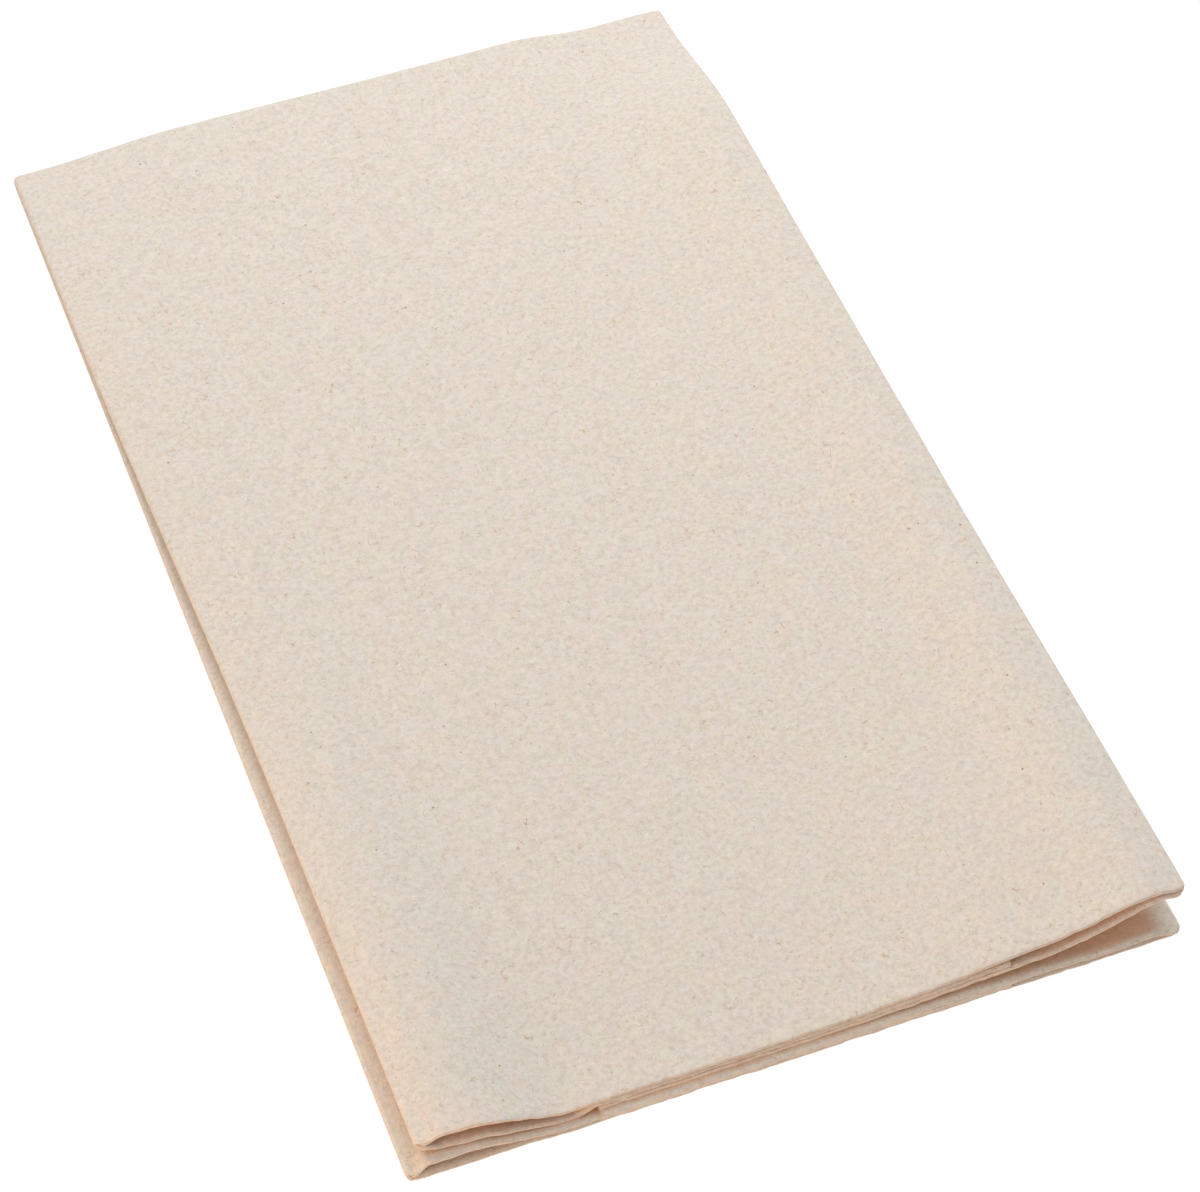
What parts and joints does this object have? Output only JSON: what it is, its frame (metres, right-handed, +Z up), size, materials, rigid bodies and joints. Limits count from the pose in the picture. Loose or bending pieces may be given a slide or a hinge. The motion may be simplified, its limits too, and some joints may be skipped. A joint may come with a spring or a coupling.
{
  "type": "paper guest towel",
  "caption": "Soft natural paper hand towel, both sides folded in over a middle panel and then folded in half into a long flat rectangle, lying open end forward.",
  "frame": {"origin": "middle of the footprint, on the surface that the towel lies on", "axes": "+X across the towel, +Y along its length from the open cut edges to the half fold, +Z up"},
  "size_m": [0.1214, 0.217, 0.0114],
  "materials": {
    "paper": "matte, soft and slightly fuzzy, unbleached"
  },
  "bodies": {
    "root": {"towel": "paper"}
  },
  "joints": []
}
